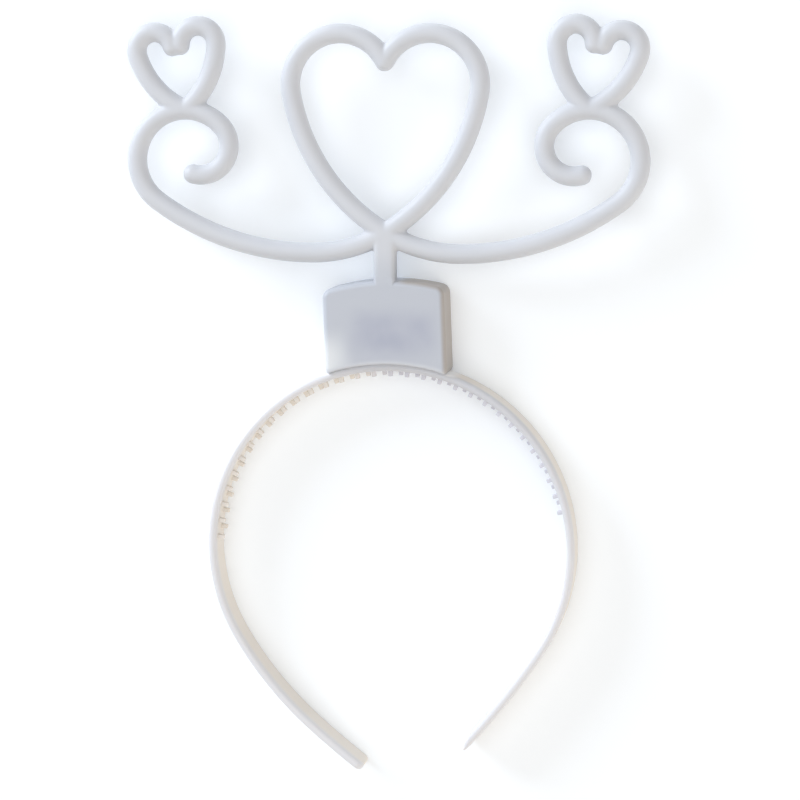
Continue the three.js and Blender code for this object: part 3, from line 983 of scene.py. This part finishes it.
def slider():
    """A knob in the slot on a flange behind the cover, with grip ridges on the knob."""
    bm = bmesh.new()
    behind = Vector((0, 0, COVER_WALL / 2 + FIT_GAP + FLANGE.z / 2))
    flange_low = SLOT_MIDDLE + behind - FLANGE / 2
    rounded_block(bm, flange_low, flange_low + FLANGE, FLANGE_EDGE, segments=2)
    left = SLOT_MIDDLE.x - SLOT_WIDTH / 2 + FIT_GAP
    half_height = SLOT_HEIGHT / 2 - FIT_GAP
    low = Vector((left, SLOT_MIDDLE.y - half_height, KNOB_RECESS + RIDGE_HEIGHT))
    high = Vector((left + KNOB_WIDTH, SLOT_MIDDLE.y + half_height, flange_low.z + KNOB_ROOT))
    rounded_block(bm, low, high, KNOB_EDGE, segments=2)
    pitch = KNOB_WIDTH / (RIDGES + 0.5)
    for k in range(RIDGES):
        x = left + pitch * (k + 0.5)
        ridge_low = Vector((x, low.y + RIDGE_MARGIN, KNOB_RECESS))
        ridge_high = Vector((x + pitch / 2, high.y - RIDGE_MARGIN, low.z + RIDGE_ROOT))
        rounded_block(bm, ridge_low, ridge_high, RIDGE_EDGE, segments=2)
    return bm


knob = new_object("switch_slider", slider(), CASE_LEAN)
finish_piece(knob, switch_white, "switch", edge_angle=35)

# %% [markdown]
# ## The battery pack
# Only the pack's shade shows through the case, so the pack is one wrapped block with soft edges.
# It could be left out behind the milky wall, but it fills the case when the cover is taken off.

# %% Pack
PACK = Vector((28, 13.4, 8)) * MM
PACK_MIDDLE = Vector((CASE_X + 3 * MM, CASE_FOOT + 10.1 * MM, 9.5 * MM))
PACK_EDGE = 1.0 * MM


def pack_block():
    """The wrapped battery pack, a rounded block."""
    bm = bmesh.new()
    rounded_block(bm, PACK_MIDDLE - PACK / 2, PACK_MIDDLE + PACK / 2, PACK_EDGE, segments=4)
    return bm


pack = new_object("wrapped_pack", pack_block(), CASE_LEAN)
finish_piece(pack, pack_grey, "battery_pack", edge_angle=35)

# %% [markdown]
# ## The topper
# The lighted topper is one moulding of round tube: a heart drawn in a line whose ends cross over
# the post and sweep out as swags into scrolls, with a small heart on each scroll. A ring is spun
# along each line's arcs, with a ball at each end. The lines overlap where they meet, so a voxel
# remesh joins them into one skin, and a smoothing pass rounds the inner corners as a mould does.
# The remesh rounds the foot of the post as well, so the post starts too long and is cut off flat.

# %% Topper lines
TIP_ABOVE_CASE = 16.95 * MM
# Each line is its first heading in degrees and its arcs, a radius in millimetres and a turn in degrees.
HEART = (31, [(72, 49), (18, 163.4)])
SWAG = (-31, [(52, 31), (96, 36), (18, 190), (10.5, 150)])
SMALL_HEART = (31, [(31, 49), (6.6, 185)])
SMALL_LEAN = math.radians(-8)
SMALL_SEAT = Vector((72.6, 43.5, 0)) * MM
TIP = Vector((POST_X, CASE_TOP + TIP_ABOVE_CASE, TUBE_Z))
TUBE_SIDES = 28
TUBE_STEP = 1.2 * MM
POST_SPARE = 3 * MM


def add_tube(bm, line, matrix, hand):
    """One tube with ball ends along a line of arcs, placed by a matrix, mirrored if hand is -1."""
    degrees, arcs = line
    heading = math.radians(degrees) if hand > 0 else math.pi - math.radians(degrees)
    before = set(bm.verts)
    facing = Matrix.Rotation(heading, 4, "Z") @ Matrix.Rotation(math.pi / 2, 4, "Y")
    made = bmesh.ops.create_circle(bm, segments=TUBE_SIDES, radius=TUBE_RADIUS, matrix=facing)["verts"]
    first = sorted({e for v in made for e in v.link_edges}, key=lambda e: e.index)
    arcs = [(radius, hand * turn) for radius, turn in arcs]
    last, end, _ = sweep(bm, made + first, Vector(), heading, arcs, TUBE_STEP)
    for ring in (first, edges_of(last)):
        bmesh.ops.contextual_create(bm, geom=ring)
    for place in (Vector(), end):
        bmesh.ops.create_uvsphere(
            bm, u_segments=TUBE_SIDES, v_segments=TUBE_SIDES // 2, radius=TUBE_RADIUS,
            matrix=Matrix.Translation(place),
        )
    bmesh.ops.transform(bm, matrix=matrix, verts=[v for v in bm.verts if v not in before])


def topper_lines():
    """All the tubes and the post, overlapping where they meet."""
    bm = post_block(NECK_TOP - POST_SPARE, TIP.y)
    over_post = Matrix.Translation(TIP)
    for hand in (1, -1):
        add_tube(bm, HEART, over_post, hand)
        add_tube(bm, SWAG, over_post, hand)
        seat = Matrix.Translation(TIP + Vector((SMALL_SEAT.x * hand, SMALL_SEAT.y, 0)))
        lean = Matrix.Rotation(SMALL_LEAN * hand, 4, "Z")
        for half in (1, -1):
            add_tube(bm, SMALL_HEART, seat @ lean, half)
    return bm


topper = new_object("tube_topper", topper_lines())
print("topper lines", len(topper.data.polygons), "faces")

# %% Topper skin
VOXEL = 0.52 * MM
SMOOTH_PASSES = 9
SMOOTH_FACTOR = 0.5
JOINT_GAP = 0.01 * MM


def one_skin(obj):
    """Joins overlapping lines into one smooth skin."""
    remesh = obj.modifiers.new("one_skin", "REMESH")
    remesh.mode = "VOXEL"
    remesh.voxel_size = VOXEL
    soften = obj.modifiers.new("soften", "SMOOTH")
    soften.factor = SMOOTH_FACTOR
    soften.iterations = SMOOTH_PASSES
    bake_modifiers(obj)


def cut_foot(obj, height):
    """Cuts a mesh flat at one Y and closes the cut."""
    bm = bmesh.new()
    bm.from_mesh(obj.data)
    cut = bmesh.ops.bisect_plane(
        bm, geom=list(bm.verts) + list(bm.edges) + list(bm.faces), plane_co=(0, height, 0),
        plane_no=(0, 1, 0), clear_inner=True,
    )
    bmesh.ops.contextual_create(bm, geom=edges_of(cut["geom_cut"]))
    bm.to_mesh(obj.data)
    bm.free()


one_skin(topper)
cut_foot(topper, NECK_TOP + JOINT_GAP)
finish_piece(topper, milky_tube, "topper", edge_angle=80)

# %% [markdown]
# ## Floor and light
# A plain pale floor and soft studio light: a large cool window low on the upper left, as in the
# photo, a weak warm fill on the lower right, a broad soft box overhead and an even, slightly warm
# sky. The floor throws light back at the sides of the tubes, and it glows a little like a light
# table, which lifts the shadows. The light is soft enough that white plastic keeps its shading on a
# white floor.

# %% Floor
FLOOR_SIZE = 4.0
FLOOR_COLOUR = "#f5f9fd"
FLOOR_ROUGHNESS = 0.9
FLOOR_GLOW = 0.07


def pale_floor():
    """A large plain floor under the headband."""
    bm = bmesh.new()
    bmesh.ops.create_grid(bm, x_segments=1, y_segments=1, size=FLOOR_SIZE / 2)
    floor = new_object("floor", bm)
    material, tree, _ = new_material("pale_matt_floor")
    surface = add(
        tree, "ShaderNodeBsdfPrincipled", None,
        {"Base Color": linear(FLOOR_COLOUR), "Roughness": FLOOR_ROUGHNESS,
         "Emission Color": linear("#ffffff"), "Emission Strength": FLOOR_GLOW},
    )
    add(tree, "ShaderNodeOutputMaterial", {"Surface": surface.outputs["BSDF"]})
    floor.data.materials.append(material)
    return floor


print("made", pale_floor().name)

# %% Light
# Each light has a name, a place and a width in metres, a power in watts and a colour.
LIGHTS = [
    ("window", (-1.92, 1.45, 0.68), 1.4, 49.0, "#eaf3ff"),
    ("fill", (1.8, -1.7, 0.85), 1.6, 17.0, "#fff0dc"),
    ("overhead", (0.0, 0.0, 2.2), 3.0, 26.0, "#f6faff"),
]
SKY_COLOUR = "#fffaf3"
SKY_STRENGTH = 0.5


def soft_light(name, place, size, power, colour):
    """A round area light that points at the headband."""
    lamp = bpy.data.lights.new(name, "AREA")
    lamp.shape = "DISK"
    lamp.size = size
    lamp.energy = power
    lamp.color = linear(colour)[:3]
    light = bpy.data.objects.new(name, lamp)
    bpy.context.scene.collection.objects.link(light)
    light.location = place
    light.rotation_euler = (-Vector(place)).to_track_quat("-Z", "Y").to_euler()


def pale_sky():
    """An even sky that fills the shadows."""
    sky = bpy.data.worlds.new("pale_sky")
    sky.use_nodes = True
    background = sky.node_tree.nodes["Background"]
    background.inputs["Color"].default_value = linear(SKY_COLOUR)
    background.inputs["Strength"].default_value = SKY_STRENGTH
    bpy.context.scene.world = sky


for row in LIGHTS:
    soft_light(*row)
pale_sky()
bpy.context.scene.view_settings.view_transform = "Standard"
print("made", len(LIGHTS), "lights and the sky")
